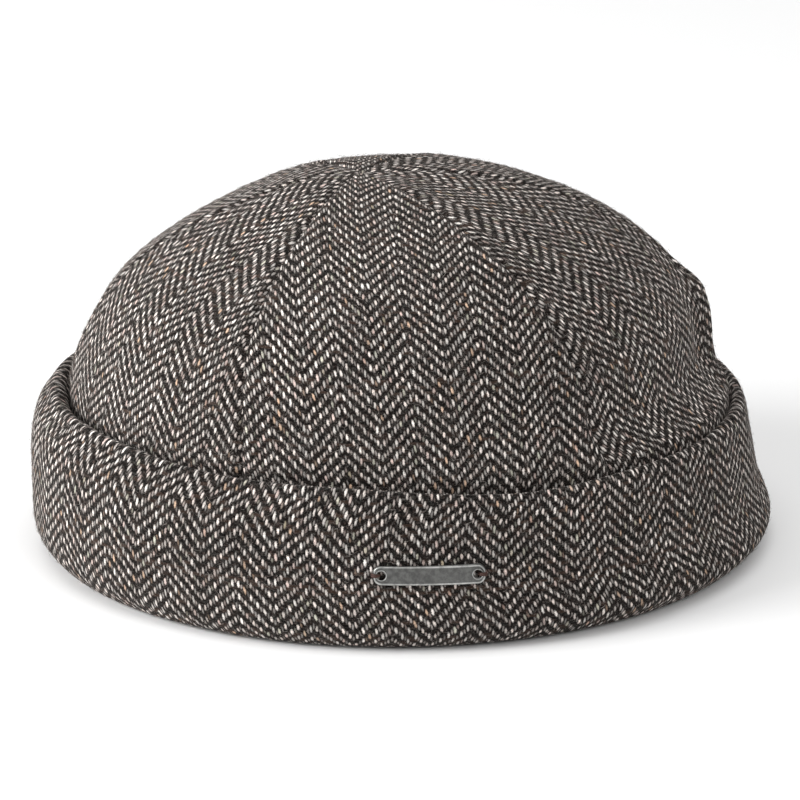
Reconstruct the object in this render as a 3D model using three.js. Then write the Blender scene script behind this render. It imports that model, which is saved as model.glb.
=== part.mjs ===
// A brimless Breton cap in herringbone wool: a crown of six sewn panels, a turned-up
// cuff rolled round its foot, and a small metal plate on the cuff.
// Millimetres, +Z up, resting on the cuff. -X is the front, over the forehead, and -Y is
// the wearer's left side, where the plate is.
import * as THREE from "three";
import { TessellateModifier } from "three/addons/modifiers/TessellateModifier.js";

// Driving sizes of the whole cap
const crownLength = 203;
const crownWidth = 169;
const capHeight = 123.5;
const clothThickness = 2.2;
const clothClearance = 0.3;

// Driving sizes of the crown
const sidePanelAngle = THREE.MathUtils.degToRad(65);
const seamGap = 0.3;
const panelFlatness = 0.15;
const seamsTowardsBack = 4;
const apexTowardsFront = 8;
const seamLean = 1.3;
const apexDent = 1.2;
const apexDentRadius = 11;
const backTuckHeight = 5.5;
const backTuckHalfWidth = 7;

// Driving sizes of the cuff
const cuffHeight = 50;
const cuffFrontRise = 2.3;
const rollThickness = 15;
const facingHeight = 27;
const tuckDepth = 26;

// Driving sizes of the plate
const plateLength = 34;
const plateHeight = 6;
const plateThickness = 0.9;
const plateEdgeRadius = 0.2;
const plateCornerRadius = 2.3;
const plateHoleRadius = 1.5;
const plateHoleFromEnd = 2.3;
const plateTowardsBack = 7.2;
const plateMiddleHeight = 26.25;

// Resolution
const stationsPerPanel = 10;
const plateFacetLength = 6;

const woolColour = 0x66605c;
const cuffWoolColour = 0x5c5652;
const pewterColour = 0x8f8f8c;

const halfLength = crownLength / 2;
const halfWidth = crownWidth / 2;
const backPanelAngle = (Math.PI - sidePanelAngle) / 2;

// The six panels, each from one seam to the next: three on the wearer's right, then three
// on the left. Angles run from the back, +X, towards the wearer's right, +Y.
const halfCrown = [backPanelAngle, sidePanelAngle, backPanelAngle];
const panels = [];
let seamAngle = 0;
for (const span of [...halfCrown, ...halfCrown]) {
  panels.push({ start: seamAngle, span });
  seamAngle += span;
}

// The straight wall of the crown, inside the cuff. It leans out towards the back as it
// comes down. front and back are shares of half the length, side of half the width.
const wallSections = [
  { name: "foot", front: 0.985, back: 1.085, side: 1.0 },
  { name: "crease", front: 0.995, back: 1.082, side: 0.995 },
];
const wallFoot = clothThickness + clothClearance;
const domeBase = cuffHeight * 0.95;
const domeHeight = capHeight - domeBase;

// The dome, from the crease to its top. rise is a share of the dome's height, the other
// lengths are shares as above, flat says how far the panels lie flat between their
// seams, and tuck how far the tuck along the back seam stands out.
const domeSections = [
  { rise: 0.08, front: 0.998, back: 1.035, side: 0.992, flat: 0.2, tuck: 0.4 },
  { rise: 0.18, front: 0.986, back: 0.984, side: 0.982, flat: 0.6, tuck: 1 },
  { rise: 0.29, front: 0.957, back: 0.974, side: 0.958, flat: 0.9, tuck: 1 },
  { rise: 0.38, front: 0.925, back: 0.963, side: 0.928, flat: 1, tuck: 1 },
  { rise: 0.46, front: 0.888, back: 0.937, side: 0.892, flat: 1, tuck: 0.95 },
  { rise: 0.54, front: 0.84, back: 0.905, side: 0.848, flat: 1, tuck: 0.1 },
  { rise: 0.63, front: 0.762, back: 0.846, side: 0.782, flat: 1, tuck: 0 },
  { rise: 0.72, front: 0.66, back: 0.765, side: 0.697, flat: 1, tuck: 0 },
  { rise: 0.81, front: 0.53, back: 0.655, side: 0.588, flat: 0.9, tuck: 0 },
  { rise: 0.89, front: 0.385, back: 0.515, side: 0.448, flat: 0.7, tuck: 0 },
  { rise: 0.94, front: 0.293, back: 0.383, side: 0.33, flat: 0.5, tuck: 0 },
  { rise: 0.972, front: 0.213, back: 0.25, side: 0.225, flat: 0.3, tuck: 0 },
  { rise: 0.989, front: 0.158, back: 0.13, side: 0.14, flat: 0.1, tuck: 0 },
  { rise: 0.997, front: 0.118, back: 0.012, side: 0.065, flat: 0, tuck: 0 },
  { rise: 1, front: 0.09, back: -0.066, side: 0.012, flat: 0, tuck: 0 },
];

// The folded strip of the cuff's face, from the hem up to the lip of the roll. height is
// a share of the face's height. front, back and side say how far the strip's middle
// stands off the crown wall, as shares of the roll's thickness.
const cuffFaceSections = [
  { name: "hem outside", height: 0, front: 0.4, back: 0.38, side: 0.41 },
  { name: "heel", height: 0.06, front: 0.67, back: 0.68, side: 0.68 },
  { name: "skirt", height: 0.17, front: 0.85, back: 0.86, side: 0.83 },
  { name: "belly", height: 0.42, front: 0.87, back: 0.57, side: 0.8 },
  { name: "breast", height: 0.68, front: 0.83, back: 0.44, side: 0.74 },
  { name: "shoulder", height: 0.85, front: 0.69, back: 0.34, side: 0.64 },
  { name: "roll", height: 0.945, front: 0.46, back: 0.29, side: 0.48 },
  { name: "crest", height: 1, front: 0.31, back: 0.2, side: 0.31 },
  { name: "lip", height: 0.965, front: 0.16, back: 0.12, side: 0.16 },
];

function mix(from, to, share) {
  return from + (to - from) * share;
}

// An oval section: how far it reaches from the axis to the front, the back and a side.
function section(front, back, side) {
  const centre = (back - front) / 2;
  const length = (back + front) / 2;
  return { front, back, side, centre, length };
}

// The crown wall's oval at a height inside the cuff.
function wallSection(height) {
  const share = (height - wallFoot) / (domeBase - wallFoot);
  const [foot, crease] = wallSections;
  return section(
    mix(foot.front, crease.front, share) * halfLength,
    mix(foot.back, crease.back, share) * halfLength,
    mix(foot.side, crease.side, share) * halfWidth,
  );
}

function ovalPoint(oval, height, angle) {
  const x = oval.centre + oval.length * Math.cos(angle);
  return new THREE.Vector3(x, oval.side * Math.sin(angle), height);
}

function ovalTangent(oval, angle) {
  const x = -oval.length * Math.sin(angle);
  return new THREE.Vector3(x, oval.side * Math.cos(angle), 0).normalize();
}

// The crown's rows, bottom to top. The seams fan out from a focus, which moves from
// near the middle of the crown's foot to the apex. It is a share of the row's length.
function crownRows() {
  const rows = [];
  for (const height of [wallFoot, domeBase]) {
    rows.push({ oval: wallSection(height), height, rise: 0, flat: 0, tuck: 0 });
  }
  for (const { rise, front, back, side, flat, tuck } of domeSections) {
    const oval = section(front * halfLength, back * halfLength, side * halfWidth);
    rows.push({ oval, height: domeBase + rise * domeHeight, rise, flat, tuck });
  }
  for (const row of rows) {
    const foot = rows[0].oval.centre + seamsTowardsBack;
    const focus = mix(foot, -apexTowardsFront, row.rise ** seamLean);
    row.focus = (focus - row.oval.centre) / row.oval.length;
  }
  return rows;
}

// The angle round the row's own middle of the point that lies at an angle from its focus.
function angleFromFocus(focus, angle) {
  const across = focus * Math.sin(angle);
  const reach = Math.sqrt(1 - across * across) - focus * Math.cos(angle);
  return Math.atan2(reach * Math.sin(angle), focus + reach * Math.cos(angle));
}

function panelAngle(row, panel, share) {
  return angleFromFocus(row.focus, panel.start + share * panel.span);
}

// A point of the crown's outside. share runs from 0 to 1 across the panel. A panel lies
// flatter between its seams than the oval, and a tuck stands along the back seam.
function crownPoint(row, panel, share) {
  const half = panel.span / 2;
  const chord = Math.cos(half) / Math.cos((share - 0.5) * panel.span);
  const shrink = 1 - panelFlatness * row.flat * (1 - chord);
  const point = ovalPoint(row.oval, row.height, panelAngle(row, panel, share));
  point.x = mix(row.oval.centre, point.x, shrink);
  point.y *= shrink;
  if (point.x > row.oval.centre) {
    const across = (point.y / backTuckHalfWidth) ** 2;
    point.x += backTuckHeight * row.tuck * Math.exp(-across);
  }
  const fromApex = Math.hypot(point.x + apexTowardsFront, point.y) / apexDentRadius;
  point.z -= apexDent * Math.exp(-(fromApex ** 2));
  return point;
}

// One closed wall from a grid of outer points and the same grid of inner points.
function wallGeometry(outer, inner) {
  const rows = outer.length;
  const columns = outer[0].length;
  const positions = [...outer.flat(), ...inner.flat()].flatMap((p) => p.toArray());
  const out = (r, c) => r * columns + c;
  const inn = (r, c) => rows * columns + r * columns + c;
  const index = [];
  const quad = (a, b, c, d) => index.push(a, b, c, a, c, d);
  const end = columns - 1;
  const top = rows - 1;
  for (let r = 0; r < top; r++) {
    for (let c = 0; c < end; c++) {
      quad(out(r, c), out(r, c + 1), out(r + 1, c + 1), out(r + 1, c));
      quad(inn(r, c), inn(r + 1, c), inn(r + 1, c + 1), inn(r, c + 1));
    }
    quad(out(r, 0), out(r + 1, 0), inn(r + 1, 0), inn(r, 0));
    quad(out(r, end), inn(r, end), inn(r + 1, end), out(r + 1, end));
  }
  for (let c = 0; c < end; c++) {
    quad(out(0, c), inn(0, c), inn(0, c + 1), out(0, c + 1));
    quad(out(top, c), out(top, c + 1), inn(top, c + 1), inn(top, c));
  }
  return meshGeometry(positions, index);
}

function meshGeometry(positions, index) {
  const geometry = new THREE.BufferGeometry();
  geometry.setAttribute("position", new THREE.Float32BufferAttribute(positions, 3));
  geometry.setIndex(index);
  geometry.computeVertexNormals();
  return geometry;
}

// A sewn panel of the crown, from one seam to the next. Each edge stands half the seam's
// gap inside its seam.
function crownPanel(panel) {
  const rows = crownRows();
  const outer = [];
  const inner = [];
  rows.forEach((row, r) => {
    const below = rows[Math.max(r - 1, 0)];
    const above = rows[Math.min(r + 1, rows.length - 1)];
    const outerRow = [];
    const innerRow = [];
    for (let station = 0; station <= stationsPerPanel; station++) {
      const share = station / stationsPerPanel;
      const around = ovalTangent(row.oval, panelAngle(row, panel, share));
      const upward = crownPoint(above, panel, share);
      upward.sub(crownPoint(below, panel, share));
      const outward = new THREE.Vector3().crossVectors(around, upward).normalize();
      const point = crownPoint(row, panel, share);
      if (station === 0) point.addScaledVector(around, seamGap / 2);
      if (station === stationsPerPanel) point.addScaledVector(around, -seamGap / 2);
      outerRow.push(point);
      innerRow.push(point.clone().addScaledVector(outward, -clothThickness));
    }
    outer.push(outerRow);
    inner.push(innerRow);
  });
  return wallGeometry(outer, inner);
}

// The rows of the cuff's folded strip: its inner edge inside the crown, the hem that it
// rests on, the face, the roll, and the edge tucked between the face and the crown.
function cuffRows() {
  const half = clothThickness / 2;
  const facing = -(clothThickness + clothClearance + half);
  const tuck = clothClearance * 1.5 + half;
  const tuckEdge = cuffHeight - tuckDepth;
  const row = (height, front, back = front, side = front) => {
    const wall = wallSection(height);
    const oval = section(wall.front + front, wall.back + back, wall.side + side);
    return { height, oval };
  };
  const rows = [
    row(facingHeight, facing),
    row(facingHeight * 0.5, facing),
    row(clothThickness * 1.7, facing),
    row(half, facing + half),
  ];
  for (const { height, front, back, side } of cuffFaceSections) {
    const stands = [front, back, side].map((share) => share * rollThickness);
    rows.push(row(half + height * (cuffHeight - clothThickness), ...stands));
  }
  rows.push(row(mix(cuffHeight, tuckEdge, 0.22), tuck));
  rows.push(row(mix(cuffHeight, tuckEdge, 0.6), tuck));
  rows.push(row(tuckEdge, tuck));
  return rows;
}

// The cuff stands higher over the forehead than at the back, and its hem stays level.
function cuffPoint(row, angle) {
  const half = clothThickness / 2;
  const share = (row.height - half) / (cuffHeight - clothThickness);
  const height = row.height - share * cuffFrontRise * Math.cos(angle);
  return ovalPoint(row.oval, height, angle);
}

// The folded strip swept round the crown as one closed solid.
function cuffGeometry() {
  const rows = cuffRows();
  const half = clothThickness / 2;
  const stations = panels.length * stationsPerPanel;
  const ringSize = rows.length * 2;
  const positions = [];
  for (let station = 0; station < stations; station++) {
    const angle = (station / stations) * 2 * Math.PI;
    const outside = [];
    const inside = [];
    rows.forEach((row, r) => {
      const before = rows[Math.max(r - 1, 0)];
      const after = rows[Math.min(r + 1, rows.length - 1)];
      const along = cuffPoint(after, angle).sub(cuffPoint(before, angle));
      const around = ovalTangent(row.oval, angle);
      const facing = new THREE.Vector3().crossVectors(around, along).normalize();
      if (row.height === half) facing.set(0, 0, -1);
      const middle = cuffPoint(row, angle);
      outside.push(middle.clone().addScaledVector(facing, half));
      inside.push(middle.clone().addScaledVector(facing, -half));
    });
    for (const p of [...outside, ...inside.reverse()]) positions.push(...p.toArray());
  }
  const index = [];
  for (let station = 0; station < stations; station++) {
    const here = station * ringSize;
    const there = ((station + 1) % stations) * ringSize;
    for (let p = 0; p < ringSize; p++) {
      const q = (p + 1) % ringSize;
      index.push(here + p, there + p, there + q, here + p, there + q, here + q);
    }
  }
  return meshGeometry(positions, index);
}

// The cuff's outer face at the plate's height, and the way that it faces there.
function cuffFace(angle) {
  const rows = cuffRows();
  const isAbove = (row, r) => r > 3 && row.height >= plateMiddleHeight;
  const high = rows[rows.findIndex(isAbove)];
  const low = rows[rows.indexOf(high) - 1];
  const share = (plateMiddleHeight - low.height) / (high.height - low.height);
  const point = cuffPoint(low, angle);
  const upward = cuffPoint(high, angle).sub(point);
  point.addScaledVector(upward, share);
  upward.normalize();
  const around = ovalTangent(low.oval, angle);
  const outward = new THREE.Vector3().crossVectors(around, upward).normalize();
  point.addScaledVector(outward, clothThickness / 2);
  return { point, upward, outward, oval: low.oval };
}

// The plate's outline, round at its ends, with a hole near each end for the thread.
function plateShape() {
  const x = plateLength / 2 - plateEdgeRadius;
  const y = plateHeight / 2 - plateEdgeRadius;
  const r = plateCornerRadius - plateEdgeRadius;
  const quarter = Math.PI / 2;
  const shape = new THREE.Shape();
  shape.moveTo(-x + r, -y);
  shape.absarc(x - r, -y + r, r, -quarter, 0);
  shape.absarc(x - r, y - r, r, 0, quarter);
  shape.absarc(-x + r, y - r, r, quarter, 2 * quarter);
  shape.absarc(-x + r, -y + r, r, 2 * quarter, 3 * quarter);
  for (const end of [-1, 1]) {
    const hole = new THREE.Path();
    const centre = end * (plateLength / 2 - plateHoleFromEnd);
    hole.absarc(centre, 0, plateHoleRadius + plateEdgeRadius, 0, 2 * Math.PI, true);
    shape.holes.push(hole);
  }
  return shape;
}

// The plate, bent to lie on the cuff's face on the wearer's left side.
function plateGeometry() {
  const flat = new THREE.ExtrudeGeometry(plateShape(), {
    depth: plateThickness - 2 * plateEdgeRadius,
    bevelThickness: plateEdgeRadius,
    bevelSize: plateEdgeRadius,
    bevelSegments: 1,
    curveSegments: 6,
  });
  const geometry = new TessellateModifier(plateFacetLength, 8).modify(flat);
  const left = 1.5 * Math.PI;
  const { oval } = cuffFace(left);
  const middleAngle = left + Math.asin((plateTowardsBack - oval.centre) / oval.length);
  const seat = cuffFace(middleAngle);
  const place = geometry.getAttribute("position");
  for (let i = 0; i < place.count; i++) {
    const proud = place.getZ(i) + plateEdgeRadius + clothClearance;
    const face = cuffFace(middleAngle + place.getX(i) / oval.length);
    const p = face.point.addScaledVector(seat.upward, place.getY(i));
    p.addScaledVector(face.outward, proud);
    place.setXYZ(i, p.x, p.y, p.z);
  }
  geometry.computeVertexNormals();
  return geometry;
}

function cloth(color) {
  return new THREE.MeshStandardMaterial({ color, roughness: 0.95, metalness: 0 });
}

const cap = new THREE.Group();
panels.forEach((panel, number) => {
  const mesh = new THREE.Mesh(crownPanel(panel), cloth(woolColour));
  mesh.name = `crown_panel_${number + 1}`;
  cap.add(mesh);
});

const cuff = new THREE.Mesh(cuffGeometry(), cloth(cuffWoolColour));
cuff.name = "cuff";
cap.add(cuff);

const plate = new THREE.Mesh(
  plateGeometry(),
  new THREE.MeshStandardMaterial({ color: pewterColour, roughness: 0.4, metalness: 0.9 }),
);
plate.name = "side_plate";
cap.add(plate);

// The origin is the middle of the cap's footprint, on the surface that it rests on.
const bounds = new THREE.Box3().setFromObject(cap);
const middle = bounds.getCenter(new THREE.Vector3());
cap.position.set(-middle.x, -middle.y, -bounds.min.z);

export default cap;
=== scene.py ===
import math

import bpy
import numpy as np
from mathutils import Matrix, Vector, noise


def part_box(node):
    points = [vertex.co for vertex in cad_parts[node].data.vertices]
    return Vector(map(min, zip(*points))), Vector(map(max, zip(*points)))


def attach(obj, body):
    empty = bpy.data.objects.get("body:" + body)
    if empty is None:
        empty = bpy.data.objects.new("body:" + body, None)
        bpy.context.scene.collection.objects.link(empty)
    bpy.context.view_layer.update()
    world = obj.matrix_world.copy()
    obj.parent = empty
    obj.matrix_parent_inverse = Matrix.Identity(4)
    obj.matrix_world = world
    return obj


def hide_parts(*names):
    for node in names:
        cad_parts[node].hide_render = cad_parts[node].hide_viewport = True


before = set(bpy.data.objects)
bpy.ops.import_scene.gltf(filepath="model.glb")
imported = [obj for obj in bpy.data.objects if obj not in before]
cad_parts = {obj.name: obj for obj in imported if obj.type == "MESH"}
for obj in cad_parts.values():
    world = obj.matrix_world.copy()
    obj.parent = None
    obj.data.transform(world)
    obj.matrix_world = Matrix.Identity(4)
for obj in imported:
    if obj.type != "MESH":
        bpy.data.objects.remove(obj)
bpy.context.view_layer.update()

# The cap's own sizes, in metres
crown_half_length = 0.1015
crown_half_width = 0.0845
cap_height = 0.1235
cloth = 0.0022
clearance = 0.0003

side_panel_angle = math.radians(65)
panel_flatness = 0.15
seams_towards_back = 0.004
apex_towards_front = 0.008
seam_lean = 1.3
apex_dent = 0.0012
apex_dent_radius = 0.011
back_tuck_height = 0.0055
back_tuck_half_width = 0.0075

cuff_height = 0.050
cuff_front_rise = 0.0023
roll_thickness = 0.015
facing_height = 0.027
tuck_depth = 0.026

# The crown wall's reach to the front, the back and a side, as shares of the half length
# and the half width, at its foot and where the dome starts
wall_foot = (0.985, 1.085, 1.0)
wall_crease = (0.995, 1.082, 0.995)

# The dome's rows. Columns: rise as a share of the dome, reach to the front, the back and
# a side as shares like the wall's, how flat the panels are, and how far the tuck stands out
dome_rows = [
    (0.08, 0.998, 1.035, 0.992, 0.2, 0.4),
    (0.18, 0.986, 0.984, 0.982, 0.6, 1),
    (0.29, 0.957, 0.974, 0.958, 0.9, 1),
    (0.38, 0.925, 0.963, 0.928, 1, 1),
    (0.46, 0.888, 0.937, 0.892, 1, 0.95),
    (0.54, 0.84, 0.905, 0.848, 1, 0.1),
    (0.63, 0.762, 0.846, 0.782, 1, 0),
    (0.72, 0.66, 0.765, 0.697, 1, 0),
    (0.81, 0.53, 0.655, 0.588, 0.9, 0),
    (0.89, 0.385, 0.515, 0.448, 0.7, 0),
    (0.94, 0.293, 0.383, 0.33, 0.5, 0),
    (0.972, 0.213, 0.25, 0.225, 0.3, 0),
    (0.989, 0.158, 0.13, 0.14, 0.1, 0),
    (0.997, 0.118, 0.012, 0.065, 0, 0),
    (1, 0.09, -0.066, 0.012, 0, 0),
]

# The cuff's face from the hem to the lip of its roll. Columns: height as a share of the
# face, and how far the cloth's middle stands off the crown at the front, the back and a
# side, as shares of the roll's thickness
cuff_face_rows = [
    (0, 0.4, 0.38, 0.41),
    (0.06, 0.67, 0.68, 0.68),
    (0.17, 0.85, 0.86, 0.83),
    (0.42, 0.87, 0.57, 0.8),
    (0.68, 0.83, 0.44, 0.74),
    (0.85, 0.69, 0.34, 0.64),
    (0.945, 0.46, 0.29, 0.48),
    (1, 0.31, 0.2, 0.31),
    (0.965, 0.16, 0.12, 0.16),
]

# The rows from the lip of the roll down the tuck behind it, as shares of the tuck's depth
cuff_tuck_rows = (0.22, 0.6, 1)

wall_foot_height = cloth + clearance
dome_base = cuff_height * 0.95

# Where the roll of the cuff sags or stands up: angle round the cap, half width of the
# place, both in degrees, and how far it sags
roll_sags = [(291, 17, 0.0019), (215, 22, -0.0011), (100, 25, 0.0012), (40, 18, -0.0008)]

# The seams between the panels, by distance from a panel's edge: a groove at the edge, a
# ridge beside it over the turned-in cloth, and puckers that fade out with the distance
seam_groove = 0.0009
seam_groove_width = 0.0011
seam_ridge = 0.00028
seam_ridge_from_edge = 0.003
seam_ridge_width = 0.0016
seam_pucker = 0.00035
seam_pucker_size = 0.0065
seam_pucker_reach = 0.006
full_seam_width = 0.03

# How the cloth billows. Columns: size of a billow, its height and its seed
crown_billows = [(0.045, 0.0009, 7), (0.02, 0.0003, 9)]
cuff_billows = [(0.05, 0.0008, 21), (0.018, 0.00025, 23)]
crown_billows_start = 0.03
crown_billows_fade = 0.03
cuff_billows_start = 0.004
cuff_billows_fade = 0.01
cuff_seam_groove = 0.0008
cuff_seam_width = 0.0018

# Where the weave is measured from: the row on the cuff's face whose length sets the
# weave's width, and the plate's place as a share of the way round
cuff_measured_row = 7.4
plate_place_round = 0.75

# The cut of the cloth
panel_cells_across = 48
panel_cells_along = 96
cuff_cells_round = 420
cuff_cells_along = 72

# The nap's loose fibres
fibre_length = 0.0017
fibre_radius = 0.000042
fibre_lift = 0.0002
fibre_root_depth = 0.00012
lowest_fibre = 0.0003
fibre_length_spread = 0.45
fibre_bend = 0.5
standing_share = 0.18
standing_rise = 0.3
lying_rise = 0.02
fibre_rings = (0, 0.35, 0.7)
panel_fibres = 5600
panel_first_nap_row = 15
cuff_fibres = 12000
cuff_nap_rows = (4.6, 11.4)
cuff_fibre_seed = 40

# The plate on the cuff, as it is bent to the cuff's face
plate_half_length = 0.017
plate_half_height = 0.0030
plate_corner_radius = 0.0023
plate_hole_radius = 0.0015
plate_hole_from_end = 0.0023
rim_inset = 0.00030
rim_half_width = 0.00026
rim_rise = 0.00018
eye_half_width = rim_half_width * 0.6
eye_rise = rim_rise * 0.7
thread_radius = 0.00015
thread_spacing = 0.00026

# The strands of each tack. Columns: place in the fan, and slack in thread radii
tack_strands = [(-1.5, 0.4), (-0.8, 1.1), (-0.1, 0.7), (0.5, 1.3), (1.2, 0.8)]

longest_front = max(front for rise, front, *rest in dome_rows) * crown_half_length
crown_axis_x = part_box("crown_panel_4")[0].x + longest_front


def smooth_rows(table, position):
    """The table's values at a place between its rows, on smooth curves through them."""
    table = np.asarray(table, float)
    position = np.clip(position, 0, len(table) - 1)
    row = np.minimum(position.astype(int), len(table) - 2)
    share = (position - row)[:, None]
    last = len(table) - 1
    before = table[np.maximum(row - 1, 0)]
    start = table[row]
    end = table[row + 1]
    after = table[np.minimum(row + 2, last)]
    return start + 0.5 * share * (
        end - before
        + share * (
            2 * before - 5 * start + 4 * end - after
            + share * (3 * (start - end) + after - before)
        )
    )


def wall_reach(height):
    """The crown wall's reach to the front, the back and a side at a height in the cuff."""
    share = (height - wall_foot_height) / (dome_base - wall_foot_height)
    foot = np.array(wall_foot)
    reach = foot + (np.array(wall_crease) - foot) * share
    return reach * (crown_half_length, crown_half_length, crown_half_width)


def crown_rows():
    """Height, front, back, side, flat, tuck and rise of each row of the crown."""
    rows = []
    for height in (wall_foot_height, wall_foot_height * 6, dome_base * 0.6, dome_base):
        rows.append((height, *wall_reach(height), 0, 0, 0))
    for rise, front, back, side, flat, tuck in dome_rows:
        height = dome_base + rise * (cap_height - dome_base)
        reach = (front * crown_half_length, back * crown_half_length, side * crown_half_width)
        rows.append((height, *reach, flat, tuck, rise))
    return rows


def angle_from_focus(focus, angle):
    """The angle round a row's middle of what lies at an angle from the seams' focus."""
    reach = np.sqrt(1 - (focus * np.sin(angle)) ** 2) - focus * np.cos(angle)
    return np.arctan2(reach * np.sin(angle), focus + reach * np.cos(angle))


def crown_points(start, span, share, position):
    """Points of the crown's outside, across a panel by share and up it by row."""
    rows = crown_rows()
    height, front, back, side, flat, tuck, rise = smooth_rows(rows, position).T
    centre = (back - front) / 2
    length = (back + front) / 2
    foot_focus = (wall_reach(wall_foot_height) @ (-0.5, 0.5, 0)) + seams_towards_back
    lean = np.clip(rise, 0, 1) ** seam_lean
    focus = foot_focus + (-apex_towards_front - foot_focus) * lean
    around = angle_from_focus((focus - centre) / length, start + share * span)
    chord = math.cos(span / 2) / np.cos((share - 0.5) * span)
    shrink = 1 - panel_flatness * flat * (1 - chord)
    x = centre + length * shrink * np.cos(around)
    y = side * shrink * np.sin(around)
    tuck_across = np.exp(-((np.abs(y) / back_tuck_half_width) ** 3))
    x = x + np.where(x > centre, back_tuck_height * tuck * tuck_across, 0)
    from_apex = np.hypot(x + apex_towards_front, y) / apex_dent_radius
    z = height - apex_dent * np.exp(-(from_apex**2))
    return np.stack([x + crown_axis_x, y, z], 1)


def cuff_rows():
    """Height, front, back and side of the folded strip's middle, inner edge first."""
    half = cloth / 2
    facing = -(cloth + clearance + half)
    tuck = clearance * 1.5 + half
    tuck_edge = cuff_height - tuck_depth
    stands = [
        (facing_height, facing, facing, facing),
        (facing_height * 0.5, facing, facing, facing),
        (cloth * 1.7, facing, facing, facing),
        (half, facing + half, facing + half, facing + half),
    ]
    for height, front, back, side in cuff_face_rows:
        reach = [share * roll_thickness for share in (front, back, side)]
        stands.append((half + height * (cuff_height - cloth), *reach))
    for share in cuff_tuck_rows:
        stands.append((cuff_height + (tuck_edge - cuff_height) * share, tuck, tuck, tuck))
    return [(row[0], *(wall_reach(row[0]) + row[1:])) for row in stands]


def cuff_points(around, position):
    """Points of the middle of the cuff's strip, round the cap and along the strip."""
    half = cloth / 2
    height, front, back, side = smooth_rows(cuff_rows(), position).T
    height = np.maximum(height, half)
    length = (back + front) / 2
    x = (back - front) / 2 + length * np.cos(around)
    y = side * np.sin(around)
    share = (height - half) / (cuff_height - cloth)
    z = height - share * cuff_front_rise * np.cos(around)
    for angle, width, sag in roll_sags:
        off = (around - math.radians(angle)) / math.radians(width)
        z = z - sag * share**2 * np.exp(-(off**2))
    return np.stack([x + crown_axis_x, y, z], 1)


def cloth_grid(name, across, along):
    """A flat piece of cloth, to be formed, with its place across and along it."""
    bpy.ops.object.select_all(action="DESELECT")
    bpy.ops.mesh.primitive_grid_add(x_subdivisions=across, y_subdivisions=along, size=1)
    piece = bpy.context.object
    piece.name = name
    piece.data.name = name
    flat = np.zeros(len(piece.data.vertices) * 3)
    piece.data.vertices.foreach_get("co", flat)
    flat = flat.reshape(-1, 3)
    return piece, flat[:, 0] + 0.5, flat[:, 1] + 0.5


def form(piece, points):
    piece.data.vertices.foreach_set("co", points.ravel())
    piece.data.update()


def normals_of(piece):
    normals = np.zeros(len(piece.data.vertices) * 3)
    piece.data.vertices.foreach_get("normal", normals)
    return normals.reshape(-1, 3)


def lay_weave(piece, across, along):
    """The piece's UV map in metres of cloth, across and along its warp."""
    layer = piece.data.uv_layers[0]
    layer.name = "weave"
    corners = np.zeros(len(piece.data.loops), int)
    piece.data.loops.foreach_get("vertex_index", corners)
    uv = np.stack([across[corners], along[corners]], 1)
    layer.data.foreach_set("uv", uv.ravel())


def wave(points, size, seed):
    """Smooth uneven values from -1 to 1 at points, about size apart."""
    shift = Vector((seed * 3.1, seed * 1.7, seed * 2.3))
    return np.array([noise.noise(Vector(p) / size + shift) for p in points])


def billow(points, sizes):
    return sum(wave(points, size, seed) * height for size, height, seed in sizes)


def finish_cloth(piece, offset):
    """Gives the cloth its thickness and smooth shading."""
    wall = piece.modifiers.new("wall", "SOLIDIFY")
    wall.thickness = cloth
    wall.offset = offset
    bpy.context.view_layer.objects.active = piece
    bpy.ops.object.modifier_apply(modifier="wall")
    piece.data.polygons.foreach_set("use_smooth", [True] * len(piece.data.polygons))
    piece.data.update()


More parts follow.
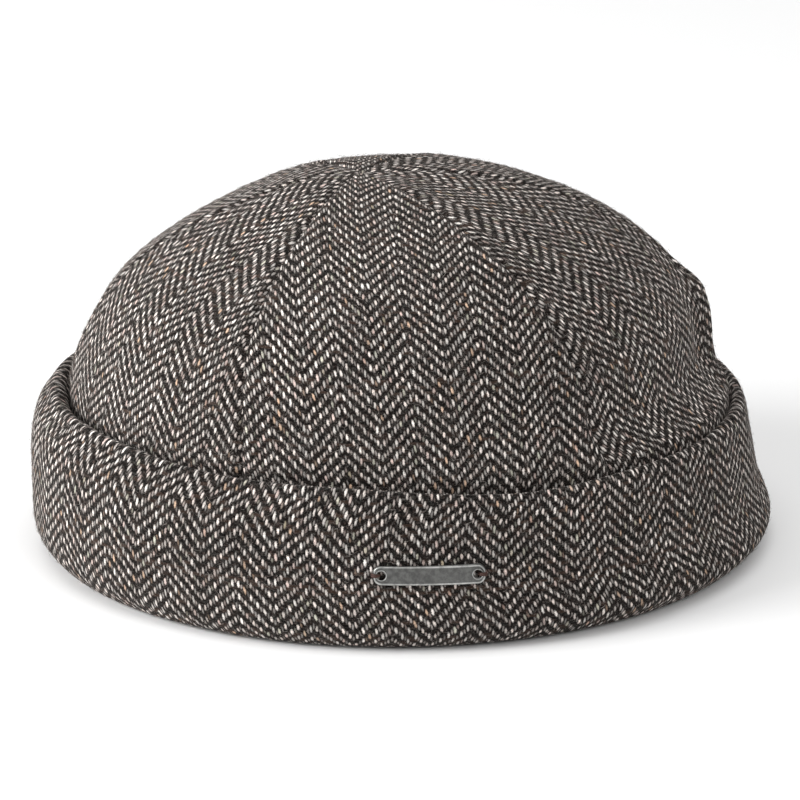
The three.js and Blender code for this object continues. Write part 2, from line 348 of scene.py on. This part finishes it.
def stray_fibres(name, piece_points, piece_normals, cells, count, seed):
    """Loose wool fibres lying and standing on a piece's face, each a thin tapered strand."""
    chance = np.random.default_rng(seed)
    low, low_right, high_right, high = cells
    area = np.linalg.norm(
        np.cross(piece_points[high_right] - piece_points[low],
                 piece_points[high] - piece_points[low_right]), axis=1)
    cell = chance.choice(len(low), count, p=area / area.sum())
    a, b = chance.random((2, count, 1))
    corners = (low[cell], low_right[cell], high_right[cell], high[cell])
    shares = ((1 - a) * (1 - b), a * (1 - b), a * b, (1 - a) * b)
    root = sum(piece_points[c] * w for c, w in zip(corners, shares))
    out = sum(piece_normals[c] * w for c, w in zip(corners, shares))
    out /= np.linalg.norm(out, axis=1, keepdims=True)
    aim = np.cross(out, chance.normal(size=(count, 3)))
    aim /= np.linalg.norm(aim, axis=1, keepdims=True)
    side = np.cross(out, aim)
    length = fibre_length * chance.lognormal(0, fibre_length_spread, (count, 1))
    bend = chance.normal(0, fibre_bend, (count, 1))
    lift = fibre_lift * chance.exponential(1, (count, 1))
    stands = chance.random((count, 1)) < standing_share
    rise = np.where(stands, standing_rise, lying_rise) * chance.random((count, 1))
    radius = fibre_radius * (0.6 + 0.7 * chance.random((count, 1)))
    rings = []
    for share in fibre_rings:
        middle = root - out * fibre_root_depth + aim * length * share
        middle = middle + side * length * bend * share**2
        middle = middle + out * (lift * 4 * share * (1 - share) + rise * length * share)
        for turn in (0, 2 * math.pi / 3, 4 * math.pi / 3):
            thick = radius * (1 - 0.5 * share)
            rings.append(middle + (side * math.cos(turn) + out * math.sin(turn)) * thick)
    rings.append(root + aim * length + side * length * bend + out * rise * length)
    spots = np.stack(rings, 1).reshape(-1, 3)
    spots[:, 2] = np.maximum(spots[:, 2], lowest_fibre)
    strand = [(0, 2, 1)]
    for ring in (0, 3):
        for k in range(3):
            after = (k + 1) % 3
            strand.append((ring + k, ring + after, ring + 3 + after, ring + 3 + k))
    strand += [(6 + k, 6 + (k + 1) % 3, 9) for k in range(3)]
    faces = [tuple(10 * i + c for c in face) for i in range(count) for face in strand]
    mesh = bpy.data.meshes.new(name)
    mesh.from_pydata(spots.tolist(), [], faces)
    mesh.update()
    piece = bpy.data.objects.new(name, mesh)
    bpy.context.scene.collection.objects.link(piece)
    return piece


def grid_cells(columns, first_row, last_row):
    """The four corners of each cell between two rows of a grid of points."""
    rows, across = np.meshgrid(np.arange(first_row, last_row), np.arange(columns - 1))
    low = (rows * columns + across).ravel()
    return low, low + 1, low + columns + 1, low + columns


def crown_panel(number, start, span):
    """One sewn panel of the crown, with a groove, a ridge and puckers along its seams."""
    piece, x, y = cloth_grid(f"wool_panel_{number}", panel_cells_across, panel_cells_along)
    share = 0.5 + 0.5 * np.sin((x - 0.5) * math.pi)
    position = y * (len(crown_rows()) - 1)
    points = crown_points(start, span, share, position)
    columns = panel_cells_across + 1
    grid = points.reshape(-1, columns, 3)
    steps = np.linalg.norm(np.diff(grid, axis=1), axis=2)
    across = np.concatenate([np.zeros((len(grid), 1)), np.cumsum(steps, 1)], 1)
    width = across[:, -1:]
    from_edge = np.minimum(across, width - across).ravel()
    middle = columns // 2
    across = (across - across[:, middle : middle + 1]).ravel()
    climb = np.linalg.norm(np.diff(grid[:, middle], axis=0), axis=1)
    along = np.repeat(np.concatenate([[0], np.cumsum(climb)]), columns)
    form(piece, points)
    ease = np.clip(width.ravel() / full_seam_width, 0, 1).repeat(columns)
    groove = -seam_groove * np.exp(-((from_edge / seam_groove_width) ** 2))
    ridge = seam_ridge * np.exp(-(((from_edge - seam_ridge_from_edge) / seam_ridge_width) ** 2))
    pucker = wave(points, seam_pucker_size, number) * seam_pucker
    pucker = pucker * np.exp(-((from_edge / seam_pucker_reach) ** 2))
    free = np.clip((points[:, 2] - crown_billows_start) / crown_billows_fade, 0, 1)
    depth = (groove + ridge + pucker) * ease + billow(points, crown_billows) * free
    points = points + normals_of(piece) * depth[:, None]
    form(piece, points)
    lay_weave(piece, across, along)
    cells = grid_cells(columns, panel_first_nap_row, panel_cells_along)
    fibres = stray_fibres(f"loose_fibres_{number}", points, normals_of(piece), cells,
                          panel_fibres, number)
    finish_cloth(piece, -1)
    return piece, fibres


def sew_ends(piece):
    """Merges the two ends of a strip where they meet."""
    bpy.ops.object.select_all(action="DESELECT")
    piece.select_set(True)
    bpy.context.view_layer.objects.active = piece
    bpy.ops.object.mode_set(mode="EDIT")
    bpy.ops.mesh.select_all(action="SELECT")
    bpy.ops.mesh.remove_doubles(threshold=0.00001)
    bpy.ops.object.mode_set(mode="OBJECT")


def cuff_strip():
    """The turned-up cuff: one strip folded into facing, hem, face and roll."""
    piece, x, y = cloth_grid("wool_cuff", cuff_cells_round, cuff_cells_along)
    around = x * 2 * math.pi
    position = y * (len(cuff_rows()) - 1)
    points = cuff_points(around, position)
    columns = cuff_cells_round + 1
    grid = points.reshape(-1, columns, 3)
    all_round = np.linspace(0, 1, columns)
    outer = cuff_points(all_round * 2 * math.pi, np.full(columns, cuff_measured_row))
    steps = np.linalg.norm(np.diff(outer, axis=0), axis=1)
    across = np.concatenate([[0], np.cumsum(steps)])
    across = np.tile(across - np.interp(plate_place_round, all_round, across), len(grid))
    side = round(columns * plate_place_round)
    climb = np.linalg.norm(np.diff(grid[:, side], axis=0), axis=1)
    along = np.repeat(np.concatenate([[0], np.cumsum(climb)]), columns)
    form(piece, points)
    from_seam = np.minimum(around, 2 * math.pi - around) * crown_half_length
    groove = cuff_seam_groove * np.exp(-((from_seam / cuff_seam_width) ** 2))
    free = np.clip((points[:, 2] - cuff_billows_start) / cuff_billows_fade, 0, 1)
    depth = (billow(points, cuff_billows) - groove) * free
    moved = points + normals_of(piece) * depth[:, None]
    edges = moved.reshape(-1, columns, 3)
    edges[:, -1] = edges[:, 0]
    form(piece, moved)
    lay_weave(piece, across, along)
    nap_rows = (np.array(cuff_nap_rows) / (len(cuff_rows()) - 1) * cuff_cells_along).astype(int)
    normals = normals_of(piece)
    face = moved + normals * cloth / 2
    cells = grid_cells(columns, *nap_rows)
    fibres = stray_fibres("loose_fibres_cuff", face, normals, cells, cuff_fibres, cuff_fibre_seed)
    sew_ends(piece)
    finish_cloth(piece, 0)
    return piece, fibres


class Graph:
    """Makes a material's nodes, and joins each to what feeds it."""

    def __init__(self, name):
        self.material = bpy.data.materials.new(name)
        self.material.use_nodes = True
        self.tree = self.material.node_tree
        self.shader = self.tree.nodes["Principled BSDF"]

    def node(self, kind, inputs=(), **settings):
        made = self.tree.nodes.new(kind)
        for name, value in settings.items():
            setattr(made, name, value)
        for key, value in dict(inputs).items():
            self.feed(made.inputs[key], value)
        return made

    def feed(self, socket, value):
        if isinstance(value, bpy.types.NodeSocket):
            self.tree.links.new(value, socket)
        else:
            socket.default_value = value

    def math(self, operation, *values, clamp=False):
        made = self.node("ShaderNodeMath", operation=operation, use_clamp=clamp)
        for socket, value in zip(made.inputs, values):
            self.feed(socket, value)
        return made.outputs[0]

    def mix(self, share, first, second, blend="MIX"):
        made = self.node("ShaderNodeMix", data_type="RGBA", blend_type=blend)
        for key, value in ((0, share), (6, first), (7, second)):
            self.feed(made.inputs[key], value)
        return made.outputs[2]

    def scaled(self, colour, share):
        made = self.node("ShaderNodeVectorMath", operation="SCALE")
        self.feed(made.inputs[0], colour)
        self.feed(made.inputs["Scale"], share)
        return made.outputs[0]

    def ramp(self, value, low, high, to_low=0.0, to_high=1.0):
        made = self.node("ShaderNodeMapRange", interpolation_type="SMOOTHSTEP")
        for socket, part in zip(made.inputs, (value, low, high, to_low, to_high)):
            self.feed(socket, part)
        return made.outputs[0]

    def vector(self, x, y, z=0.0):
        made = self.node("ShaderNodeCombineXYZ")
        for socket, value in zip(made.inputs, (x, y, z)):
            self.feed(socket, value)
        return made.outputs[0]

    def random(self, x, y, z=0.0):
        """Three values from 0 to 1 that are new for each x, y and z."""
        made = self.node("ShaderNodeTexWhiteNoise", noise_dimensions="3D")
        self.feed(made.inputs["Vector"], self.vector(x, y, z))
        split = self.node("ShaderNodeSeparateColor")
        self.feed(split.inputs[0], made.outputs["Color"])
        return split.outputs

    def noise(self, place, scale, detail=2.0, roughness=0.5, distortion=0.0):
        made = self.node("ShaderNodeTexNoise", noise_dimensions="3D")
        for key, value in (("Vector", place), ("Scale", scale), ("Detail", detail),
                           ("Roughness", roughness), ("Distortion", distortion)):
            self.feed(made.inputs[key], value)
        return made.outputs["Fac"]

    def relief(self, height, distance, strength=1.0):
        """Raises the surface by a height's value times a distance, too fine for the mesh."""
        bump = self.node("ShaderNodeBump")
        for key, value in (("Strength", strength), ("Distance", distance), ("Height", height)):
            self.feed(bump.inputs[key], value)
        self.feed(self.shader.inputs["Normal"], bump.outputs[0])

    def surface(self, values):
        for name, value in values.items():
            self.feed(self.shader.inputs[name], value)


class PlateFace:
    """The outer face of the plate: places on it from its middle, along, up and outwards."""

    def __init__(self, plate):
        mesh = plate.data
        outward = [p for p in mesh.polygons if p.normal.y < -0.8 and p.area > 0]
        corner = {v for p in outward for v in p.vertices}
        spots = np.array([mesh.vertices[v].co for v in corner])
        x, y, z = spots.T
        low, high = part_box("side_plate")
        self.middle = (low.x + high.x) / 2
        self.height = np.polyfit(x, z, 1)
        near = np.abs(z - np.polyval(self.height, x)) < plate_half_height * 0.85
        x, y, z = spots[near].T
        terms = np.stack([np.ones_like(x), x, x * x, z], 1)
        self.terms = np.linalg.lstsq(terms, y, rcond=None)[0]

    def at(self, along, up, out):
        level, slope, bend, slant = self.terms
        x = self.middle + np.asarray(along, float)
        z = np.polyval(self.height, x) + np.asarray(up) / math.hypot(1, slant)
        y = level + slope * x + bend * x * x + slant * z
        normal = np.stack([slope + 2 * bend * x, -np.ones_like(x), slant + 0 * x], -1)
        normal /= np.linalg.norm(normal, axis=-1, keepdims=True)
        return np.stack([x, y, z], -1) + normal * np.asarray(out)[..., None]


def rounded_outline(share, half_length, half_height, radius):
    """A point round a bar with round corners, and its outward way, at a share of its length."""
    along = half_length - radius
    up = half_height - radius
    quarter = radius * math.pi / 2
    spot = (share % 1) * (4 * (along + up) + 4 * quarter)
    corners = [(1, 1, 0, 2 * up), (-1, 1, 1, 2 * along), (-1, -1, 2, 2 * up), (1, -1, 3, 2 * along)]
    for x, y, turn, straight in corners:
        way = np.array([math.cos(turn * math.pi / 2), math.sin(turn * math.pi / 2)])
        ahead = np.array([-way[1], way[0]])
        corner = np.array([x * along, y * up])
        if spot < straight:
            return corner + way * radius - ahead * (straight - spot), way
        spot -= straight
        if spot < quarter:
            angle = (turn + spot / quarter) * math.pi / 2
            way = np.array([math.cos(angle), math.sin(angle)])
            return corner + way * radius, way
        spot -= quarter
    return np.array([along + radius, -up]), np.array([1.0, 0.0])


def laid_ring(name, face, centre, outline, half_width, rise, segments):
    """A raised ring on the plate's face, shaped from a torus round an outline."""
    tube = 0.25
    bpy.ops.object.select_all(action="DESELECT")
    bpy.ops.mesh.primitive_torus_add(
        major_segments=segments, minor_segments=10, major_radius=1, minor_radius=tube)
    ring = bpy.context.object
    ring.name = name
    for corner in ring.data.vertices:
        x, y, z = corner.co
        spot, way = rounded_outline(math.atan2(y, x) / (2 * math.pi), *outline)
        off = (math.hypot(x, y) - 1) / tube
        spot = spot + way * off * half_width
        corner.co = face.at(centre + spot[0], spot[1], z / tube * rise)
    ring.data.polygons.foreach_set("use_smooth", [True] * len(ring.data.polygons))
    ring.data.update()
    return ring


def thread_strand(name, points, radius):
    """One strand of thread, a round tube along a smooth curve through points."""
    bpy.ops.object.select_all(action="DESELECT")
    bpy.ops.curve.primitive_nurbs_path_add()
    strand = bpy.context.object
    strand.name = name
    curve = strand.data
    curve.splines.clear()
    spline = curve.splines.new("BEZIER")
    spline.bezier_points.add(len(points) - 1)
    for bend, point in zip(spline.bezier_points, points):
        bend.co = point
        bend.handle_left_type = "AUTO"
        bend.handle_right_type = "AUTO"
    curve.bevel_depth = radius
    curve.bevel_resolution = 3
    curve.use_fill_caps = True
    curve.resolution_u = 8
    bpy.ops.object.convert(target="MESH")
    return bpy.context.object


def joined(pieces, name):
    bpy.ops.object.select_all(action="DESELECT")
    for piece in pieces:
        piece.select_set(True)
    bpy.context.view_layer.objects.active = pieces[0]
    bpy.ops.object.join()
    bpy.context.object.name = name
    bpy.ops.object.transform_apply(location=True, rotation=True, scale=True)
    return bpy.context.object


def plate_rim(face):
    """The plate's raised rim and the rings round its two holes."""
    outline = (plate_half_length - rim_inset, plate_half_height - rim_inset,
               plate_corner_radius - rim_inset)
    rings = [laid_ring("rim", face, 0, outline, rim_half_width, rim_rise, 160)]
    hole_ring = plate_hole_radius + rim_half_width * 0.4
    for end in (-1, 1):
        centre = end * (plate_half_length - plate_hole_from_end)
        outline = (hole_ring, hole_ring, hole_ring * 0.999)
        rings.append(laid_ring("eye", face, centre, outline, eye_half_width, eye_rise, 48))
    return joined(rings, "plate_rim")


def plate_thread(face):
    """The tacks that hold the plate: strands out of each hole and over its end."""
    strands = []
    for end in (-1, 1):
        hole = end * (plate_half_length - plate_hole_from_end)
        for fan, slack in tack_strands:
            up = fan * thread_spacing
            # Each spot's place along the plate, up it, and out from its face
            spots = [
                (hole + end * 0.0002, up * 0.5, -0.0010),
                (hole + end * 0.0007, up * 0.8, -0.0001),
                (hole + end * 0.0013, up * 1.1, rim_rise + thread_radius * (0.6 + slack)),
                (hole + end * 0.0021, up * 1.4, rim_rise + thread_radius * (0.4 + slack)),
                (hole + end * 0.0028, up * 1.6, -0.0004),
                (hole + end * 0.0031, up * 1.6, -0.0014),
            ]
            points = [face.at(*map(np.float64, spot)) for spot in spots]
            strands.append(thread_strand("tack", points, thread_radius))
    return joined(strands, "plate_tacks")


# The weave: how many warps a column of the herringbone has, how many picks a float spans,
# the spacing of its yarns, and how far hairy yarns stray from their places
warps_per_column = 12
picks_per_float = 4
crown_pick_pitch = 0.00097
cuff_pick_pitch = 0.00100
crown_warp_pitch = 0.000919
cuff_warp_pitch = 0.000972
stray_across = 0.0009
stray_along = 0.0014
yarn_crimp = 0.0007
weave_relief = 0.00035
thread_relief = 0.00006
pewter_relief = 0.00005

# The yarns' colours, in linear light
pale_yarns = ((0.97, 0.84, 0.77, 1), (0.88, 0.83, 0.785, 1))
tan_yarn = (0.66, 0.40, 0.23, 1)
rose_yarn = (0.64, 0.44, 0.39, 1)
green_yarn = (0.40, 0.42, 0.30, 1)
dark_yarns = ((0.0016, 0.0011, 0.0009, 1), (0.0075, 0.005, 0.0042, 1))
brown_yarn = (0.03, 0.018, 0.013, 1)
felt_hazes = ((0.15, 0.105, 0.09, 1), (0.105, 0.11, 0.1, 1))
nap_strand = (0.27, 0.25, 0.235, 1)
# The thread's brown, and a darker brown that is painted shade in the grooves of its twist
thread_brown_and_groove_shade = ((0.018, 0.008, 0.006, 1), (0.085, 0.034, 0.024, 1))
fibre_colour = (0.34, 0.305, 0.28)


def place_on_cloth(g, seed, column_shift, grain_lean):
    """The place across and along the cloth's warp, strayed as its yarns are."""
    split = g.node("ShaderNodeSeparateXYZ")
    g.feed(split.inputs[0], g.node("ShaderNodeTexCoord").outputs["UV"])
    u, v = split.outputs[0], split.outputs[1]
    u = g.math("ADD", g.math("MULTIPLY_ADD", v, grain_lean, u), column_shift)
    across = g.math("SUBTRACT", g.noise(g.vector(u, v, seed * 0.37), 260, 4, 0.6), 0.5)
    along = g.math("SUBTRACT", g.noise(g.vector(v, u, seed * 0.61), 260, 4, 0.6), 0.5)
    u = g.math("MULTIPLY_ADD", across, stray_across, u)
    v = g.math("MULTIPLY_ADD", along, stray_along, v)
    crimp = g.noise(g.vector(u, v, seed + 29), 2600, 2, 0.6)
    return g.math("MULTIPLY_ADD", g.math("SUBTRACT", crimp, 0.5), yarn_crimp, u), v


def which_float(g, pick, chevron):
    """The number of the float at a place, and the place along it from its middle, in picks."""
    phase = g.math("DIVIDE", g.math("ADD", pick, chevron), picks_per_float)
    along = g.math("SUBTRACT", g.math("FRACT", phase), 0.5)
    return g.math("FLOOR", phase), g.math("MULTIPLY", along, picks_per_float)


def oval(g, across, half_width, along, half_length):
    """How far out on an oval a place is, squared, and how high the oval's hump is there."""
    out = g.math("ADD", g.math("POWER", g.math("DIVIDE", across, half_width), 2.0),
                 g.math("POWER", g.math("DIVIDE", along, half_length), 2.0))
    return out, g.math("SQRT", g.math("MAXIMUM", g.math("SUBTRACT", 1.0, out), 0.0))


def warp_floats(g, warp, pick, seed):
    """The warp's floats: their ovals and humps, and the chances that colour them."""
    number = g.math("FLOOR", warp)
    across = g.math("SUBTRACT", g.math("FRACT", warp), 0.5)
    float_number, along = which_float(g, pick, g.math("PINGPONG", number, warps_per_column))
    chance = g.random(number, float_number, seed)
    odd = g.random(number, float_number, seed + 7)
    slide = g.random(number, float_number, seed + 23)[0]
    yarn = g.random(number, 5.0, seed + 3)[0]
    along = g.math("ADD", along, g.math("MULTIPLY_ADD", odd[2], 0.4, -0.2))
    lean = g.math("MULTIPLY_ADD", chance[2], 0.2, -0.02)
    leaning = g.math("MULTIPLY_ADD", along, lean, across)
    leaning = g.math("ADD", leaning, g.math("MULTIPLY_ADD", slide, 0.22, -0.11))
    bold = g.math("MULTIPLY", g.math("FRACT", g.math("DIVIDE", number, 2)), 2.0)
    length = g.math("MULTIPLY_ADD", chance[1], 0.3, 0.7)
    length = g.math("MULTIPLY_ADD", bold, 0.14, length)
    width = g.math("MULTIPLY_ADD", bold, 0.1, 0.27)
    width = g.math("MULTIPLY_ADD", chance[0], 0.1, width)
    out, rise = oval(g, leaning, width, along, length)
    return out, rise, chance, odd, bold, yarn


def weft_floats(g, warp, pick, seed):
    """The humps of the weft's floats, and the chances that colour them."""
    number = g.math("FLOOR", pick)
    across = g.math("SUBTRACT", g.math("FRACT", pick), 0.5)
    chevron = g.math("PINGPONG", g.math("SUBTRACT", warp, 0.5), warps_per_column)
    float_number, along = which_float(g, g.math("ADD", number, 2.5), chevron)
    rise = oval(g, across, 0.5, along, 1.3)[1]
    return rise, g.random(number, float_number, seed + 11)


def pale_colour(g, chance, odd, bold, yarn, fibre):
    """The warp's colour: creams of uneven tone, with a few tan, rose and green floats."""
    tone = g.math("MULTIPLY_ADD", chance[0], 0.52, 0.58)
    tone = g.math("MULTIPLY", tone, g.math("MULTIPLY_ADD", bold, 0.62, 0.38))
    tone = g.math("MULTIPLY", tone, g.math("MULTIPLY_ADD", yarn, 0.3, 0.85))
    tone = g.math("MULTIPLY", tone, g.math("MULTIPLY_ADD", fibre, 1.6, 0.25))
    colour = g.mix(chance[1], *pale_yarns)
    tan = g.math("MULTIPLY", g.ramp(chance[2], 0.965, 0.975), 0.75)
    colour = g.mix(tan, colour, tan_yarn)
    rose = g.math("MULTIPLY", g.ramp(odd[0], 0.88, 0.94), 0.6)
    colour = g.mix(rose, colour, rose_yarn)
    green = g.math("MULTIPLY", g.ramp(odd[1], 0.955, 0.975), 0.6)
    colour = g.mix(green, colour, green_yarn)
    return g.scaled(colour, tone)


def dark_colour(g, chance, fibre):
    """The weft's colour: near black, with some brown floats."""
    colour = g.mix(chance[0], *dark_yarns)
    colour = g.mix(g.ramp(chance[1], 0.86, 0.96), colour, brown_yarn)
    return g.scaled(colour, g.math("MULTIPLY_ADD", fibre, 1.4, 0.4))


def napped(g, colour, u, v, seed):
    """The colour under the nap's haze and strands, and how the two rise."""
    felt = g.noise(g.vector(u, v, seed + 13), 1500, 4, 0.62, 0.6)
    felt_hue = g.noise(g.vector(v, u, seed + 17), 700, 2)
    haze = g.mix(g.ramp(felt_hue, 0.35, 0.65), *felt_hazes)
    colour = g.mix(g.math("MULTIPLY", g.ramp(felt, 0.5, 0.68), 0.55), colour, haze)
    curl = g.math("SUBTRACT", g.noise(g.vector(u, v, seed), 1100, 2, 0.5, 1.4), 0.5)
    strand = g.ramp(g.math("ABSOLUTE", curl), 0.0, 0.022, 1.0, 0.0)
    patches = g.ramp(g.noise(g.vector(u, v, seed + 9), 220, 2), 0.4, 0.62)
    strand = g.math("MULTIPLY", strand, g.math("MULTIPLY_ADD", patches, 0.7, 0.3))
    colour = g.mix(g.math("MULTIPLY", strand, 0.42), colour, nap_strand)
    return colour, felt, strand


def herringbone(name, seed, warp_pitch, pick_pitch, column_shift, grain_lean, shade=1.0):
    """Herringbone wool: pale warp floats over a dark weft, nap and odd coloured flecks."""
    g = Graph(name)
    u, v = place_on_cloth(g, seed, column_shift, grain_lean)
    warp = g.math("DIVIDE", u, warp_pitch)
    pick = g.math("DIVIDE", v, pick_pitch)
    out, warp_rise, chance, odd, bold, yarn = warp_floats(g, warp, pick, seed)
    weft_rise, weft_chance = weft_floats(g, warp, pick, seed)
    fibre_place = g.vector(g.math("MULTIPLY", u, 4200), g.math("MULTIPLY", v, 1700), seed)
    fibre = g.noise(fibre_place, 1.0, 2, 0.6)
    pale = pale_colour(g, chance, odd, bold, yarn, fibre)
    dark = dark_colour(g, weft_chance, fibre)
    ragged = g.math("MULTIPLY_ADD", g.math("SUBTRACT", fibre, 0.5), 1.9, out)
    colour = g.mix(g.ramp(ragged, 0.1, 1.7, 1.0, 0.0), dark, pale)
    colour, felt, strand = napped(g, colour, u, v, seed)
    # Random wear in the wool's tone, times shade: on the cuff this darkens the wool, partly as its
    # own darker cloth, partly as painted shade
    wear = g.noise(g.vector(u, v, seed + 4), 28, 3)
    wear_and_painted_shade = g.math("MULTIPLY_ADD", wear, 0.5 * shade, 0.75 * shade)

    rise = g.math("MAXIMUM", warp_rise, g.math("MULTIPLY", weft_rise, 0.72))
    for part, height in ((fibre, 0.35), (felt, 0.5), (strand, 0.3)):
        rise = g.math("MULTIPLY_ADD", part, height, rise)
    g.relief(rise, weave_relief)
    g.surface({
        "Base Color": g.scaled(colour, wear_and_painted_shade),
        "Roughness": 0.95,
        "Specular IOR Level": 0.04,
        "Sheen Weight": 0.06,
        "Sheen Roughness": 0.5,
        "Sheen Tint": (0.9, 0.86, 0.82, 1),
    })
    return g.material


def wool_fibre(name, colour):
    """Single wool fibres, matt and a little uneven in tone."""
    g = Graph(name)
    place = g.node("ShaderNodeTexCoord").outputs["Object"]
    tone = g.ramp(g.noise(place, 400, 2), 0.35, 0.65)
    dark = tuple(part * 0.35 for part in colour)
    colour = g.mix(tone, (*dark, 1), (*colour, 1))
    g.surface({"Base Color": colour, "Roughness": 0.8, "Specular IOR Level": 0.2})
    return g.material


def tack_thread():
    """Red-brown sewing thread with its twist, darker in the twist's grooves as painted shade."""
    g = Graph("red_brown_thread")
    place = g.node("ShaderNodeTexCoord").outputs["Object"]
    ply = g.node("ShaderNodeTexWave", bands_direction="DIAGONAL")
    for key, value in (("Vector", place), ("Scale", 900), ("Distortion", 1.5)):
        g.feed(ply.inputs[key], value)
    twist = ply.outputs["Fac"]
    g.relief(twist, thread_relief)
    # The darker brown falls in the twist's low grooves: painted shade
    g.surface({"Base Color": g.mix(twist, *thread_brown_and_groove_shade), "Roughness": 0.75})
    return g.material


def pewter(name, shade, sheen):
    """Aged pewter, uneven in tone and shine, with fine scratches."""
    g = Graph(name)
    place = g.node("ShaderNodeTexCoord").outputs["Object"]
    cloud = g.noise(place, 700, 4, 0.6)
    light = (shade, shade, shade * 0.97, 1)
    dull = (shade * 0.55, shade * 0.55, shade * 0.53, 1)
    g.relief(g.noise(place, 3500, 3, 0.6), pewter_relief, 0.35)
    g.surface({
        "Base Color": g.mix(g.ramp(cloud, 0.3, 0.7), dull, light),
        "Metallic": 1.0,
        "Roughness": g.ramp(cloud, 0.2, 0.8, sheen, sheen + 0.16),
    })
    return g.material


def floor_paint():
    g = Graph("pale_floor")
    g.surface({
        "Base Color": (0.83, 0.83, 0.83, 1),
        "Roughness": 0.7,
        "Specular IOR Level": 0.2,
    })
    return g.material


# How each panel is cut from the cloth: where a column crosses its middle, and how far
# its columns lean off its middle line
grain_shift = (0.002, 0.0085, 0.0046, -0.0133, 0.01006, -0.0106)
grain_lean = (0.0, -0.06, 0.0, 0.0, -0.1163, 0.0)

# The same for the cuff. Its wool is made a little darker: partly its cloth's own darker tone,
# partly painted shade
cuff_grain_shift = 0.01309
cuff_grain_lean = -0.0756
cuff_seed = 13.0
cuff_darker_cloth_and_painted_shade = 0.92

pale_fibre = wool_fibre("pale_wool_fibre", fibre_colour)

back_span = (math.pi - side_panel_angle) / 2
spans = [back_span, side_panel_angle, back_span] * 2
start = 0.0
for number, span in enumerate(spans, 1):
    panel, fibres = crown_panel(number, start, span)
    cut = (crown_warp_pitch, crown_pick_pitch, grain_shift[number - 1], grain_lean[number - 1])
    panel.data.materials.append(herringbone(f"herringbone_panel_{number}", float(number), *cut))
    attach(panel, "root")
    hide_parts(f"crown_panel_{number}")
    fibres.data.materials.append(pale_fibre)
    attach(fibres, "root")
    start += span

cuff, fibres = cuff_strip()
fibres.data.materials.append(pale_fibre)
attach(fibres, "root")
cut = (cuff_warp_pitch, cuff_pick_pitch, cuff_grain_shift, cuff_grain_lean, cuff_darker_cloth_and_painted_shade)
cuff.data.materials.append(herringbone("herringbone_cuff", cuff_seed, *cut))
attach(cuff, "root")
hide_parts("cuff")

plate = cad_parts["side_plate"]
plate.data.materials.clear()
plate.data.materials.append(pewter("aged_pewter", 0.17, 0.42))
face = PlateFace(plate)
rim = plate_rim(face)
rim.data.materials.append(pewter("worn_pewter", 0.5, 0.3))
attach(rim, "root")
tacks = plate_thread(face)
tacks.data.materials.append(tack_thread())
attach(tacks, "root")

# The floor, the lights and the camera
bpy.ops.object.select_all(action="DESELECT")
bpy.ops.mesh.primitive_plane_add(size=12)
floor = bpy.context.object
floor.name = "floor"
floor.data.materials.append(floor_paint())


# The soft lights. Columns: name, place, size and power
soft_lights = [
    ("low_key_light", (-1.6, -0.1, 0.45), 1.1, 25),
    ("key_light", (-1.45, -0.45, 0.95), 0.8, 19),
    ("fill_light", (1.05, -1.2, 1.3), 1.4, 14),
]
middle_height = 0.06
overhead_place = (-0.1, 0.3, 1.6)
overhead_spread = math.radians(60)
overhead_power = 1.5
sky_power = 0.3


def soft_light(name, place, size, power):
    """A round soft light that faces the middle of the cap."""
    bpy.ops.object.select_all(action="DESELECT")
    bpy.ops.object.light_add(type="AREA", location=place)
    lamp = bpy.context.object
    lamp.name = name
    lamp.data.shape = "DISK"
    lamp.data.size = size
    lamp.data.energy = power
    lamp.rotation_mode = "QUATERNION"
    aim = Vector((0, 0, middle_height)) - Vector(place)
    lamp.rotation_quaternion = aim.to_track_quat("-Z", "Y")


for light in soft_lights:
    soft_light(*light)
bpy.ops.object.select_all(action="DESELECT")
bpy.ops.object.light_add(type="SUN", location=overhead_place)
overhead = bpy.context.object
overhead.name = "overhead_light"
overhead.data.angle = overhead_spread
overhead.data.energy = overhead_power

world = bpy.data.worlds.new("studio")
world.use_nodes = True
background = world.node_tree.nodes["Background"]
background.inputs["Color"].default_value = (1, 1, 1, 1)
background.inputs["Strength"].default_value = sky_power
bpy.context.scene.world = world
bpy.context.scene.view_settings.view_transform = "Standard"

camera_aim = Vector((-0.0005, 0, 0.045))
camera_azimuth = math.radians(-3.75)
camera_elevation = math.radians(21.5)
camera_distance = 1.4
picture_width = 0.2566
sensor_width = 36
back_to_camera = Vector((
    math.sin(camera_azimuth) * math.cos(camera_elevation),
    -math.cos(camera_azimuth) * math.cos(camera_elevation),
    math.sin(camera_elevation),
))
bpy.ops.object.camera_add(location=camera_aim + back_to_camera * camera_distance)
camera = bpy.context.object
camera.rotation_mode = "QUATERNION"
camera.rotation_quaternion = (-back_to_camera).to_track_quat("-Z", "Y")
camera.data.sensor_width = sensor_width
camera.data.lens = sensor_width * camera_distance / picture_width
bpy.context.scene.camera = camera
